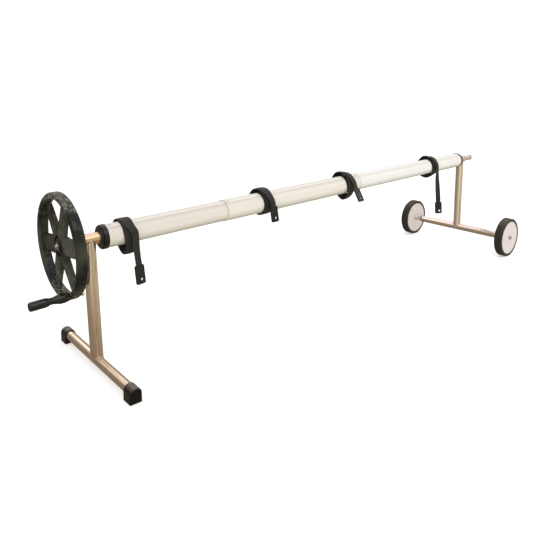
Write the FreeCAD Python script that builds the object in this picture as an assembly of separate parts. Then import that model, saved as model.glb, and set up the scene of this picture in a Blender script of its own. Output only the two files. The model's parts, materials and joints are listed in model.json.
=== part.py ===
"""Pool cover reel: a telescopic tube carried by a foot stand with a handwheel and a wheeled stand.

Millimetres, +Z up. X runs along the reel from the handwheel end to the wheeled end, Y is across it.
The origin is on the floor, under the middle of the whole reel's box.
"""

import FreeCAD
import Part
import math
import os

V = FreeCAD.Vector
X_DIR = V(1, 0, 0)
Y_DIR = V(0, 1, 0)
Z_DIR = V(0, 0, 1)

# ---- driving dimensions ----
REEL_SPAN = 2220.0          # foot post to wheel post along the tube, as set in the rest pose
POST_HEIGHT = 400.0         # ground tube to reel axis, the same on both stands

POST_D = 40.0
FRAME_WALL = 1.5
SLEEVE_D = 38.0             # bearing sleeve across the top of each post
SLEEVE_LENGTH = 60.0
SLEEVE_BORE = 34.0
FOOT_TUBE_D = 32.0
FOOT_TUBE_HALF = 242.0
FOOT_AXIS_HEIGHT = 28.5     # floor to the foot tube's axis
FOOT_CAP_WIDTH = 38.0
FOOT_CAP_LENGTH = 44.0
FOOT_CAP_SOCKET = 22.0
FOOT_CAP_ROUND = 5.0

SPINDLE_D = 28.0
SPINDLE_RUNNING_GAP = 0.05  # radial
BUSH_FLANGE_D = 37.0
BUSH_FLANGE = 2.0
BUSH_LENGTH = 18.0

SMALL_TUBE_D = 75.6
SMALL_TUBE_WALL = 1.6
MIDDLE_TUBE_D = 80.0
MIDDLE_TUBE_WALL = 1.8
TUBE_RUNNING_GAP = 0.05     # radial, small tube in a guide collar
SEAM_NEAR = 515.0           # foot post to the near end of the middle tube
SEAM_FAR = 1272.0           # foot post to the far end of the middle tube
TUBE_OVERLAP = 300.0        # small tube inside the middle tube at rest
TUBE_GROOVE = 1.2           # depth of the line along each tube
TUBE_GROOVE_WIDTH = 3.0
TUBE_GROOVE_ANGLE = 38.0    # from the crown towards the front
COLLAR_LENGTH = 46.0
COLLAR_LIP = 2.5
COLLAR_D = 80.8

PLUG_FLANGE_D = 79.0
PLUG_FLANGE = 18.0
PLUG_EDGE = 7.0             # rounding of the flange's outer edge
PLUG_GAP = 2.0              # sleeve bush to plug
PLUG_DEPTH = 45.0
PLUG_CLEARANCE = 0.1
PLUG_SCREW_D = 4.0
PLUG_SCREW_HEAD = (8.0, 2.4)    # diameter and height
PLUG_SCREW_DEPTH = 9.0
PLUG_SCREW_PLACE = 14.0     # tube end to screw
PLUG_SCREW_ANGLES = (15.0, 135.0, 255.0)
LOCK_SCREW_D = 5.0
LOCK_SCREW_HEAD = (9.0, 2.6)
LOCK_SCREW_PLACE = 12.0     # middle tube's end to screw
LOCK_SCREW_TIP_GAP = 0.4    # screw's tip to the small tube
LOCK_SCREW_ANGLES = (20.0, 200.0)

HANDWHEEL_R = 163.0
HANDWHEEL_FRONT = -102.0    # front plane, from the foot post
RIM_DEPTH = 34.0
RIM_THICK = 20.0
RIM_ROUND = 9.0
SPOKES = 6
SPOKE_FIRST = 23.0          # degrees from up, towards the front
SPOKE_PLANE = -84.0         # middle of the spokes, from the foot post
SPOKE_ROOT = (20.0, 62.0, 20.0)     # radius, width and thickness of the oval section
SPOKE_TIP = (150.0, 56.0, 12.0)
HUB_FRONT = -98.0
HUB_BACK = -58.0
HUB_NOSE_R = 15.0
HUB_R = 34.0
HUB_TAIL_R = 22.0
HUB_SEAT = 3.0              # depth of the washer's seat in the hub's nose
HUB_WASHER_R = 11.0
HUB_WASHER = 2.0
HUB_BOLT_D = 8.0
HUB_BOLT_HEAD_R = 6.5
HUB_BOLT_HEAD = 5.0
HUB_BOLT_LENGTH = 26.0

CRANK_ANGLE = 147.0         # degrees from up, towards the front
CRANK_RADIUS = 153.0
CRANK_PIN_D = 10.0
CRANK_PIN_HEAD = (16.0, 5.0)    # diameter and height
CRANK_PIN_SUNK = 4.0        # head's outer face below the grip's end
CRANK_PIN_THREAD = 9.0      # beyond the back of the rim
CRANK_NUT_FLATS = 16.0
CRANK_NUT = 8.0
GRIP_LENGTH = 112.0
GRIP_GAP = 1.0              # washer gap between grip and rim
GRIP_RUNNING_GAP = 0.08     # radial
GRIP_POCKET = (18.0, 10.0)  # diameter and depth of the recess in the grip's end
GRIP_PROFILE = (            # distance from the rim end, radius
    (0.0, 9.5), (4.0, 13.0), (16.0, 15.2), (28.0, 14.8), (38.0, 12.0), (48.0, 9.8), (56.0, 10.0),
    (62.0, 12.2), (68.0, 13.4), (GRIP_LENGTH - 3.0, 13.4), (GRIP_LENGTH, 11.4),
)

WHEEL_R = 104.0
WHEEL_WIDTH = 40.0
WHEEL_OUTER_FACE = 316.0    # from the reel's centre plane
AXLE_TUBE_D = 38.0
AXLE_TUBE_HALF = 236.0
AXLE_D = 16.0
AXLE_PROUD = 3.0            # axle beyond each wheel's outer face
AXLE_PLUG_COLLAR = 8.0
AXLE_PLUG_EDGE = 2.0
AXLE_PLUG_LENGTH = 30.0
AXLE_PLUG_CLEARANCE = 0.1
SPACER_LENGTH = 28.0
SPACER_FLANGE = (16.0, 4.0)     # radius and thickness against the wheel
SPACER_R = 13.0
SPACER_TAPER = 4.0
WHEEL_SIDE_GAP = 1.0        # wheel to spacer, and wheel to cap
WHEEL_RUNNING_GAP = 0.06    # radial, bush on axle
TYRE_THICK = 15.0
TYRE_CROWN = 3.0
TREAD_GROOVES = 3
TREAD_GROOVE = 2.2
WHEEL_BORE = 22.0
BUSH_INSET = 0.5            # wheel bush's ends inside the wheel's faces
DISC_LAND = (1.0, 5.0)      # depth below the tyre's side, and width, of the disc's outer land
DISC_DISH = (3.5, 9.0)      # depth, and distance from the land's outer edge
DISC_HUB = ((26.0, 3.5), (19.0, 2.5), (17.0, 0.5))     # radius and depth up to the hub's face
HUB_CAP_D = 20.0
HUB_CAP_LENGTH = 8.0
HUB_CAP_FLOOR = 2.0         # cap's inner floor from its open end

STUB_LENGTH = 72.0          # far spindle beyond the far sleeve
STUB_PIN_D = 4.0
STUB_PIN_LENGTH = 46.0
STUB_PIN_ANGLE = 45.0
STUB_PIN_PLACE = 12.0       # pin to the spindle's end
STUB_CAP = 8.0
STUB_CAP_PROUD = 1.0
STUB_CAP_BEVEL = 3.0

BAND_WIDTH = 38.0
BAND_GAP = 0.6
TAIL_WIDTH = 25.0
TAIL_THICK = 3.0
TAIL_GAP = 2.5              # band to tail
TAIL_OFFSET = 6.5           # tail beyond the band's middle, towards the wheels
CLIP_WIDTH = 35.0
CLIP_LENGTH = 62.0
CLIP_THICK = 6.0
CLIP_SOCKET = 14.0
CLIP_SOCKET_GAP = 0.25
CLIP_TAIL_STRAIGHT = 1.0    # straight webbing above the clip's mouth
CLIP_HOLE_D = 10.0
CLIP_HOLE_EDGE = 15.0
CLIP_HOLE_SIDE = 5.0        # off the clip's centre line, towards the wheels
CLIP_ROUND = 6.0

# ---- places worked out from them, in a level frame whose axle and foot tube are at the same height ----
AXIS_HEIGHT = FOOT_AXIS_HEIGHT + POST_HEIGHT
LEAN = math.degrees(math.asin((WHEEL_R - FOOT_AXIS_HEIGHT) / REEL_SPAN))   # the wheels lift the far end
FOOT_X = 0.0
WHEEL_X = FOOT_X + REEL_SPAN
SLEEVE_HALF = SLEEVE_LENGTH / 2
PLUG_START = SLEEVE_HALF + BUSH_FLANGE + PLUG_GAP
TUBE_START = PLUG_START + PLUG_FLANGE
SMALL_R = SMALL_TUBE_D / 2
SMALL_INNER_R = SMALL_R - SMALL_TUBE_WALL
MIDDLE_R = MIDDLE_TUBE_D / 2
MIDDLE_INNER_R = MIDDLE_R - MIDDLE_TUBE_WALL
NEAR_TUBE_X = (FOOT_X + TUBE_START, FOOT_X + SEAM_NEAR + TUBE_OVERLAP)
MIDDLE_TUBE_X = (FOOT_X + SEAM_NEAR, FOOT_X + SEAM_FAR)
FAR_TUBE_X = (FOOT_X + SEAM_FAR - TUBE_OVERLAP, WHEEL_X - TUBE_START)

# name, distance from the foot post, tube radius, how far the loop stands above, below, in front of and
# behind the axis, axis to the clip's far end, twist and lean in degrees
STRAPS = (
    ("1", 127.0, SMALL_R, 43.0, 68.0, 43.0, 56.0, 162.0, -12.0, 8.0),
    ("2", 711.0, MIDDLE_R, 55.0, 50.0, 51.0, 66.0, 70.0, 0.0, 10.0),
    ("3", 1205.0, MIDDLE_R, 58.0, 66.0, 51.0, 64.0, 76.0, 0.0, 30.0),
    ("4", 1894.0, SMALL_R, 53.0, 62.0, 45.0, 70.0, 252.0, 42.0, 4.0),
)


# ---- helpers ----
def cylinder(radius, start, length, direction):
    return Part.makeCylinder(radius, length, start, direction)


def on_axis(x):
    """A point on the reel's axis."""
    return V(x, 0, AXIS_HEIGHT)


def rod_x(radius, x0, x1):
    return cylinder(radius, on_axis(x0), x1 - x0, X_DIR)


def ring_x(outer, inner, x0, x1):
    return rod_x(outer, x0, x1).cut(rod_x(inner, x0 - 1, x1 + 1))


def turned_x(profile):
    """A solid of revolution round the reel's axis; profile is a closed loop of (x, radius)."""
    wire = Part.makePolygon([V(x, 0, AXIS_HEIGHT + r) for x, r in profile + [profile[0]]])
    return Part.Face(wire).revolve(on_axis(0), X_DIR, 360)


def turned(profile, centre, axis, side):
    """A solid of revolution round axis; profile is a closed loop of (along the axis, radius)."""
    points = [centre + axis * a + side * r for a, r in profile + [profile[0]]]
    return Part.Face(Part.makePolygon(points)).revolve(centre, axis, 360)


def polar(angle, radius, x):
    """A point at an angle from up, towards the front, round the reel's axis."""
    a = math.radians(angle)
    return V(x, -radius * math.sin(a), AXIS_HEIGHT + radius * math.cos(a))


def rounded_box(corner, sizes, radius, keep):
    """A box with its edges rounded where keep(edge) is true."""
    box = Part.makeBox(sizes[0], sizes[1], sizes[2], corner)
    return box.makeFillet(radius, [e for e in box.Edges if keep(e)])


def along(edge, direction):
    a, b = edge.Vertexes[0].Point, edge.Vertexes[-1].Point
    span = b - a
    return span.Length > 0 and abs(abs(span.normalize().dot(direction)) - 1) < 1e-6


def fuse_all(shapes):
    whole = shapes[0]
    for shape in shapes[1:]:
        whole = whole.fuse(shape)
    return whole.removeSplitter()


def radial_screw(angle, surface_r, x, depth, shank_d, head_size):
    """A pan-head screw driven towards the reel's axis, its head just clear of the round surface."""
    head_d, head_h = head_size
    stand_off = 0.4
    outward = polar(angle, 1.0, x) - on_axis(x)
    seat = on_axis(x) + outward * surface_r
    shank = cylinder(shank_d / 2, seat - outward * depth, depth + head_h / 2, outward)
    head = cylinder(head_d / 2, seat + outward * stand_off, head_h, outward)
    top = seat + outward * (stand_off + head_h)
    crown = [e for e in head.Edges if e.Closed and (e.CenterOfMass - top).Length < 1e-6]
    return shank.fuse(head.makeFillet(head_h * 0.45, crown))


# ---- stands ----
def post(x, foot_axis_z, foot_r):
    """Post between the ground tube and the bearing sleeve, cut to the shape of both."""
    height = AXIS_HEIGHT - foot_axis_z
    base = V(x, 0, foot_axis_z)
    outer = cylinder(POST_D / 2, base, height, Z_DIR)
    inner = cylinder(POST_D / 2 - FRAME_WALL, base, height, Z_DIR)
    tube = outer.cut(inner)
    tube = tube.cut(cylinder(SLEEVE_D / 2, on_axis(x - POST_D), 2 * POST_D, X_DIR))
    tube = tube.cut(cylinder(foot_r, V(x, -POST_D, foot_axis_z), 2 * POST_D, Y_DIR))
    return max(tube.Solids, key=lambda s: s.Volume)


def head_sleeve(x):
    return ring_x(SLEEVE_D / 2, SLEEVE_BORE / 2, x - SLEEVE_HALF, x + SLEEVE_HALF)


def head_bush(x, side):
    """Flanged plastic bush; side is -1 at the sleeve's near end and 1 at its far end."""
    bore = SPINDLE_D / 2 + SPINDLE_RUNNING_GAP
    mouth = x + side * SLEEVE_HALF
    body = sorted((mouth, mouth - side * BUSH_LENGTH))
    flange = sorted((mouth, mouth + side * BUSH_FLANGE))
    shell = ring_x(SLEEVE_BORE / 2, bore, body[0], body[1])
    lip = ring_x(BUSH_FLANGE_D / 2, bore, flange[0], flange[1])
    return fuse_all([shell, lip])


def cross_tube(x, z, radius, half):
    outer = cylinder(radius, V(x, -half, z), 2 * half, Y_DIR)
    return outer.cut(cylinder(radius - FRAME_WALL, V(x, -half - 1, z), 2 * half + 2, Y_DIR))


def foot_cap(side):
    """Rubber foot: round over the tube, square and flat on the floor."""
    half = FOOT_CAP_WIDTH / 2
    inner_y = FOOT_TUBE_HALF - FOOT_CAP_SOCKET
    outer_y = inner_y + FOOT_CAP_LENGTH
    points = [V(FOOT_X - half, inner_y, 0), V(FOOT_X + half, inner_y, 0)]
    right = V(FOOT_X + half, inner_y, FOOT_AXIS_HEIGHT)
    top = V(FOOT_X, inner_y, FOOT_AXIS_HEIGHT + half)
    left = V(FOOT_X - half, inner_y, FOOT_AXIS_HEIGHT)
    edges = [
        Part.makeLine(points[0], points[1]),
        Part.makeLine(points[1], right),
        Part.Arc(right, top, left).toShape(),
        Part.makeLine(left, points[0]),
    ]
    block = Part.Face(Part.Wire(edges)).extrude(Y_DIR * (outer_y - inner_y))
    end_edges = [e for e in block.Edges if abs(e.CenterOfMass.y - outer_y) < 1e-6]
    block = block.makeFillet(FOOT_CAP_ROUND, end_edges)
    socket = cylinder(FOOT_TUBE_D / 2, V(FOOT_X, inner_y - 1, FOOT_AXIS_HEIGHT), FOOT_CAP_SOCKET + 1, Y_DIR)
    cap = block.cut(socket)
    if side < 0:
        cap = cap.mirror(V(FOOT_X, 0, 0), Y_DIR)
    return cap


# ---- reel tubes ----
def reel_tube(radius, wall, x0, x1):
    """Drawn aluminium tube with a fine line along it."""
    tube = ring_x(radius, radius - wall, x0, x1)
    corner = V(x0 - 1, -TUBE_GROOVE_WIDTH / 2, AXIS_HEIGHT + radius - TUBE_GROOVE)
    cutter = Part.makeBox(x1 - x0 + 2, TUBE_GROOVE_WIDTH, TUBE_GROOVE * 2, corner)
    cutter.rotate(on_axis(0), X_DIR, TUBE_GROOVE_ANGLE)
    return tube.cut(cutter)


def guide_collar(x, side):
    """Guide in the end of the middle tube, with a thin lip outside it; the small tube slides in it."""
    bore = SMALL_R + TUBE_RUNNING_GAP
    body = sorted((x, x - side * COLLAR_LENGTH))
    lip = sorted((x, x + side * COLLAR_LIP))
    sleeve = ring_x(MIDDLE_INNER_R, bore, body[0], body[1])
    flange = ring_x(COLLAR_D / 2, bore, lip[0], lip[1])
    return fuse_all([sleeve, flange])


def end_plug(x, side):
    """Moulded plug in a small tube's outer end; side is 1 when the tube lies on the +X side of x."""
    bore = SPINDLE_D / 2
    r = SMALL_INNER_R - PLUG_CLEARANCE
    tube_end = x + side * PLUG_FLANGE
    inner_end = tube_end + side * PLUG_DEPTH
    flange_r = PLUG_FLANGE_D / 2
    corner = (x + side * PLUG_EDGE, flange_r - PLUG_EDGE)
    profile = [(x, bore)]
    for step in range(5):
        a = math.radians(step * 22.5)
        profile.append((corner[0] - side * PLUG_EDGE * math.cos(a), corner[1] + PLUG_EDGE * math.sin(a)))
    profile += [(tube_end, flange_r), (tube_end, r), (inner_end, r), (inner_end, bore)]
    return turned_x(profile)


def plug_screws(x, direction):
    """Three screws through a small tube's end into its plug."""
    place = x + direction * PLUG_SCREW_PLACE
    return Part.makeCompound([
        radial_screw(a, SMALL_R, place, PLUG_SCREW_DEPTH, PLUG_SCREW_D, PLUG_SCREW_HEAD)
        for a in PLUG_SCREW_ANGLES
    ])


def lock_screws(x):
    """Two short screws through the middle tube's end into its guide collar."""
    depth = MIDDLE_R - SMALL_R - TUBE_RUNNING_GAP - LOCK_SCREW_TIP_GAP
    return Part.makeCompound([
        radial_screw(a, MIDDLE_R, x, depth, LOCK_SCREW_D, LOCK_SCREW_HEAD) for a in LOCK_SCREW_ANGLES
    ])


def drill_for(shape, screws):
    """Cuts each screw's shank hole in shape."""
    for screw in screws.Solids:
        shape = shape.cut(screw)
    return shape


# ---- handwheel ----
def rim():
    x0 = FOOT_X + HANDWHEEL_FRONT
    ring = ring_x(HANDWHEEL_R, HANDWHEEL_R - RIM_THICK, x0, x0 + RIM_DEPTH)
    return ring.makeFillet(RIM_ROUND, [e for e in ring.Edges if e.Closed])


def spoke(angle):
    """Broad spoke of flat oval section, a little narrower and thinner towards the rim."""
    x = FOOT_X + SPOKE_PLANE
    across = polar(angle + 90, 1.0, x) - on_axis(x)
    sections = []
    for radius, width, thick in (SPOKE_ROOT, SPOKE_TIP):
        centre = polar(angle, radius, x)
        oval = Part.Ellipse(centre + across * (width / 2), centre + X_DIR * (thick / 2), centre)
        sections.append(Part.Wire(oval.toShape()))
    return Part.makeLoft(sections, True, True)


def hub():
    """Hub with a sloping nose, a seat for the centre bolt's washer and a bore that fits the spindle."""
    front = FOOT_X + HUB_FRONT
    back = FOOT_X + HUB_BACK
    shoulder = FOOT_X + SPOKE_PLANE
    seat = front + HUB_SEAT
    return turned_x([
        (front, HUB_WASHER_R + 0.5), (front, HUB_NOSE_R), (shoulder - 2, HUB_R), (shoulder + 2, HUB_R),
        (shoulder + 12, HUB_TAIL_R), (back - 2, HUB_TAIL_R), (back, HUB_TAIL_R - 2),
        (back, SPINDLE_D / 2), (seat, SPINDLE_D / 2), (seat, HUB_WASHER_R + 0.5),
    ])


def handwheel():
    """One moulding: deep round rim, six broad spokes and the hub, drilled for the crank's pin."""
    spokes = [spoke(SPOKE_FIRST + k * 360.0 / SPOKES) for k in range(SPOKES)]
    wheel = fuse_all([rim()] + spokes)
    wheel = wheel.cut(rod_x(HUB_R - 2, FOOT_X + HUB_FRONT - 1, FOOT_X + HUB_BACK + 1))
    wheel = fuse_all([wheel, hub()])
    front = polar(CRANK_ANGLE, CRANK_RADIUS, FOOT_X + HANDWHEEL_FRONT)
    return wheel.cut(cylinder(CRANK_PIN_D / 2, front - X_DIR, RIM_DEPTH + 2, X_DIR))


def hub_bolt():
    """Centre bolt and washer that hold the handwheel on its spindle."""
    seat = FOOT_X + HUB_FRONT + HUB_SEAT
    under_head = seat - HUB_WASHER
    top = under_head - HUB_BOLT_HEAD
    washer = rod_x(HUB_WASHER_R, under_head, seat)
    bevel = HUB_BOLT_HEAD * 0.3
    head = turned_x([
        (under_head, 0.0), (under_head, HUB_BOLT_HEAD_R), (top + bevel, HUB_BOLT_HEAD_R),
        (top, HUB_BOLT_HEAD_R - bevel), (top, 0.0),
    ])
    shank = rod_x(HUB_BOLT_D / 2, seat, seat + HUB_BOLT_LENGTH)
    return fuse_all([washer, head, shank])


def near_spindle():
    """Spindle from the handwheel hub through the foot stand into the plug, tapped for the centre bolt."""
    start = FOOT_X + HUB_FRONT + HUB_SEAT
    end = FOOT_X + TUBE_START + PLUG_DEPTH
    return rod_x(SPINDLE_D / 2, start, end).cut(rod_x(HUB_BOLT_D / 2, start - 1, start + HUB_BOLT_LENGTH))


def crank_pin():
    """Shoulder bolt that the grip turns on, with its round head in the grip's end."""
    head_d, head_h = CRANK_PIN_HEAD
    start = FOOT_X + HANDWHEEL_FRONT - GRIP_GAP - GRIP_LENGTH + CRANK_PIN_SUNK
    end = FOOT_X + HANDWHEEL_FRONT + RIM_DEPTH + CRANK_PIN_THREAD
    centre = polar(CRANK_ANGLE, CRANK_RADIUS, start)
    shaft = cylinder(CRANK_PIN_D / 2, centre, end - start, X_DIR)
    return fuse_all([shaft, cylinder(head_d / 2, centre, head_h, X_DIR)])


def crank_nut():
    x = FOOT_X + HANDWHEEL_FRONT + RIM_DEPTH
    centre = polar(CRANK_ANGLE, CRANK_RADIUS, x)
    corner_r = CRANK_NUT_FLATS / math.sqrt(3)
    corners = []
    for k in range(7):
        a = math.radians(60 * k)
        corners.append(centre + V(0, corner_r * math.cos(a), corner_r * math.sin(a)))
    nut = Part.Face(Part.makePolygon(corners)).extrude(X_DIR * CRANK_NUT)
    return nut.cut(cylinder(CRANK_PIN_D / 2, centre - X_DIR, CRANK_NUT + 2, X_DIR))


def crank_grip():
    """Turned handle: full bulge by the rim, a waist, then a long straight barrel."""
    bore = CRANK_PIN_D / 2 + GRIP_RUNNING_GAP
    pocket_r = GRIP_POCKET[0] / 2
    floor = GRIP_LENGTH - GRIP_POCKET[1]
    centre = polar(CRANK_ANGLE, CRANK_RADIUS, FOOT_X + HANDWHEEL_FRONT - GRIP_GAP)
    inside = [(GRIP_LENGTH, pocket_r), (floor, pocket_r), (floor, bore), (0.0, bore)]
    return turned(list(GRIP_PROFILE) + inside, centre, X_DIR * -1, Z_DIR)


# ---- wheeled stand ----
def axle_plug(side):
    """Stepped end fitting that carries the axle in the ground tube."""
    bore = AXLE_D / 2
    collar_r = AXLE_TUBE_D / 2
    shank_r = collar_r - FRAME_WALL - AXLE_PLUG_CLEARANCE
    profile = [
        (0.0, bore), (0.0, collar_r - AXLE_PLUG_EDGE), (AXLE_PLUG_EDGE, collar_r),
        (AXLE_PLUG_COLLAR, collar_r), (AXLE_PLUG_COLLAR, shank_r),
        (AXLE_PLUG_LENGTH, shank_r), (AXLE_PLUG_LENGTH, bore),
    ]
    centre = V(WHEEL_X, side * (AXLE_TUBE_HALF + AXLE_PLUG_COLLAR), FOOT_AXIS_HEIGHT)
    return turned(profile, centre, Y_DIR * -side, Z_DIR)


def axle_rod():
    half = WHEEL_OUTER_FACE + AXLE_PROUD
    return cylinder(AXLE_D / 2, V(WHEEL_X, -half, FOOT_AXIS_HEIGHT), 2 * half, Y_DIR)


def axle_spacer(side):
    """Flanged collar that keeps the wheel away from the ground tube."""
    bore = AXLE_D / 2
    flange_r, flange = SPACER_FLANGE
    profile = [
        (0.0, bore), (0.0, flange_r), (flange, flange_r), (flange + SPACER_TAPER, SPACER_R),
        (SPACER_LENGTH, SPACER_R), (SPACER_LENGTH, bore),
    ]
    centre = V(WHEEL_X, side * (WHEEL_OUTER_FACE - WHEEL_WIDTH - WHEEL_SIDE_GAP), FOOT_AXIS_HEIGHT)
    return turned(profile, centre, Y_DIR * -side, Z_DIR)


def axle_cap(side):
    """Domed cap on the end of the axle."""
    r = HUB_CAP_D / 2
    h = HUB_CAP_LENGTH
    profile = [
        (0.0, AXLE_D / 2), (0.0, r), (h * 0.45, r), (h * 0.8, r * 0.82), (h, r * 0.5), (h, 0.0),
        (HUB_CAP_FLOOR, 0.0), (HUB_CAP_FLOOR, AXLE_D / 2),
    ]
    centre = V(WHEEL_X, side * (WHEEL_OUTER_FACE + WHEEL_SIDE_GAP), FOOT_AXIS_HEIGHT)
    return turned(profile, centre, Y_DIR * side, Z_DIR)


def tyre(side):
    """Rubber tyre with grooves round the tread."""
    outer = WHEEL_R
    inner = WHEEL_R - TYRE_THICK
    profile = [(0.0, inner), (0.0, outer - TYRE_CROWN), (TYRE_CROWN, outer)]
    pitch = WHEEL_WIDTH / (TREAD_GROOVES + 1)
    for k in range(1, TREAD_GROOVES + 1):
        y = k * pitch
        profile += [
            (y - TREAD_GROOVE, outer), (y - TREAD_GROOVE / 2, outer - TREAD_GROOVE),
            (y + TREAD_GROOVE / 2, outer - TREAD_GROOVE), (y + TREAD_GROOVE, outer),
        ]
    profile += [(WHEEL_WIDTH - TYRE_CROWN, outer), (WHEEL_WIDTH, outer - TYRE_CROWN), (WHEEL_WIDTH, inner)]
    centre = V(WHEEL_X, side * WHEEL_OUTER_FACE, FOOT_AXIS_HEIGHT)
    return turned(profile, centre, Y_DIR * -side, Z_DIR)


def wheel_disc(side):
    """Solid plastic wheel with a shallow dish and a raised hub on both faces."""
    rim_r = WHEEL_R - TYRE_THICK
    dish, dish_inset = DISC_DISH
    land, land_width = DISC_LAND
    near_half = [(DISC_HUB[-1][1], WHEEL_BORE / 2)]
    near_half += [(depth, radius) for radius, depth in reversed(DISC_HUB)]
    near_half += [(dish, rim_r - dish_inset), (land, rim_r - land_width), (land, rim_r)]
    other_half = [(WHEEL_WIDTH - depth, radius) for depth, radius in reversed(near_half)]
    centre = V(WHEEL_X, side * WHEEL_OUTER_FACE, FOOT_AXIS_HEIGHT)
    return turned(near_half + other_half, centre, Y_DIR * -side, Z_DIR)


def wheel_bush(side):
    length = WHEEL_WIDTH - 2 * BUSH_INSET
    inner_face = WHEEL_OUTER_FACE - WHEEL_WIDTH + BUSH_INSET
    start = V(WHEEL_X, inner_face if side > 0 else -inner_face - length, FOOT_AXIS_HEIGHT)
    bore = cylinder(AXLE_D / 2 + WHEEL_RUNNING_GAP, start - Y_DIR, length + 2, Y_DIR)
    return cylinder(WHEEL_BORE / 2, start, length, Y_DIR).cut(bore)


# ---- far spindle ----
STUB_END = WHEEL_X + SLEEVE_HALF + BUSH_FLANGE + STUB_LENGTH


def far_spindle():
    return rod_x(SPINDLE_D / 2, WHEEL_X - TUBE_START - PLUG_DEPTH, STUB_END).cut(far_pin())


def far_pin():
    """Cross pin that stops the spindle drawing back through the stand."""
    centre = on_axis(STUB_END - STUB_PIN_PLACE)
    direction = centre - polar(STUB_PIN_ANGLE, 1.0, centre.x)
    return cylinder(STUB_PIN_D / 2, centre - direction * (STUB_PIN_LENGTH / 2), STUB_PIN_LENGTH, direction)


def far_cap():
    tip = STUB_END + STUB_CAP
    r = SPINDLE_D / 2 + STUB_CAP_PROUD
    bevel = STUB_CAP_BEVEL
    return turned_x([(STUB_END, 0.0), (STUB_END, r), (tip - bevel, r), (tip, r - bevel), (tip, 0.0)])


# ---- straps ----
def strap_band(x, tube_r, above, below, front, back):
    """Closed form of the webbing loop: close over the tube's crown and front, slack below and behind."""
    centre = V(x - BAND_WIDTH / 2, (back - front) / 2, AXIS_HEIGHT + (above - below) / 2)
    half_height = (above + below) / 2
    half_width = (front + back) / 2
    long_first = sorted([(half_height, Z_DIR), (half_width, Y_DIR)], key=lambda h: -h[0])
    ends = [centre + direction * half for half, direction in long_first]
    oval = Part.Ellipse(ends[0], ends[1], centre)
    loop = Part.Face(Part.Wire(oval.toShape())).extrude(X_DIR * BAND_WIDTH)
    return loop.cut(rod_x(tube_r + BAND_GAP, x - BAND_WIDTH, x + BAND_WIDTH))


def tail_pivot(x, front):
    return V(x + TAIL_OFFSET, -(front + TAIL_GAP + TAIL_THICK / 2), AXIS_HEIGHT)


def lean_about(shape, pivot, lean):
    shape.rotate(pivot, X_DIR, -lean)
    return shape


def webbing_loop(centre, width, thick, twist):
    a = math.radians(twist)
    u = V(math.cos(a), -math.sin(a), 0)
    v = V(math.sin(a), math.cos(a), 0)
    signs = ((-1, -1), (1, -1), (1, 1), (-1, 1))
    corners = [centre + u * (sx * width / 2) + v * (sy * thick / 2) for sx, sy in signs]
    return Part.makePolygon(corners + [corners[0]])


def strap_tail(x, front, reach, twist, lean):
    """Webbing that hangs from the band, turning by twist before it enters the clip."""
    pivot = tail_pivot(x, front)
    socket_floor = reach - CLIP_LENGTH + CLIP_SOCKET
    straight = reach - CLIP_LENGTH - CLIP_TAIL_STRAIGHT
    top = webbing_loop(pivot, TAIL_WIDTH, TAIL_THICK, 0)
    if twist:
        turn_end = webbing_loop(pivot - Z_DIR * straight, TAIL_WIDTH, TAIL_THICK, twist)
        upper = Part.makeLoft([top, turn_end], True, True)
        lower = Part.Face(turn_end).extrude(Z_DIR * -(socket_floor - straight))
        tail = upper.fuse(lower)
    else:
        tail = Part.Face(top).extrude(Z_DIR * -socket_floor)
    return lean_about(tail, pivot, lean)


def strap_clip(x, front, reach, twist, lean):
    """Moulded clip on the end of the tail, with an eye for the cover's fastening."""
    pivot = tail_pivot(x, front)
    corner = V(-CLIP_WIDTH / 2, -CLIP_THICK / 2, -reach)
    plate = rounded_box(corner, (CLIP_WIDTH, CLIP_THICK, CLIP_LENGTH), CLIP_ROUND, lambda e: along(e, Y_DIR))
    eye = V(CLIP_HOLE_SIDE, -CLIP_THICK, -reach + CLIP_HOLE_EDGE)
    hole = cylinder(CLIP_HOLE_D / 2, eye, 2 * CLIP_THICK, Y_DIR)
    socket_width = TAIL_WIDTH + 2 * CLIP_SOCKET_GAP
    socket_thick = TAIL_THICK + 2 * CLIP_SOCKET_GAP
    socket_floor = CLIP_LENGTH - CLIP_SOCKET - CLIP_SOCKET_GAP - reach
    socket_corner = V(-socket_width / 2, -socket_thick / 2, socket_floor)
    socket = Part.makeBox(socket_width, socket_thick, CLIP_SOCKET + 5, socket_corner)
    clip = plate.cut(hole).cut(socket)
    clip.rotate(V(0, 0, 0), Z_DIR, -twist)
    clip.translate(pivot)
    return lean_about(clip, pivot, lean)


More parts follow.
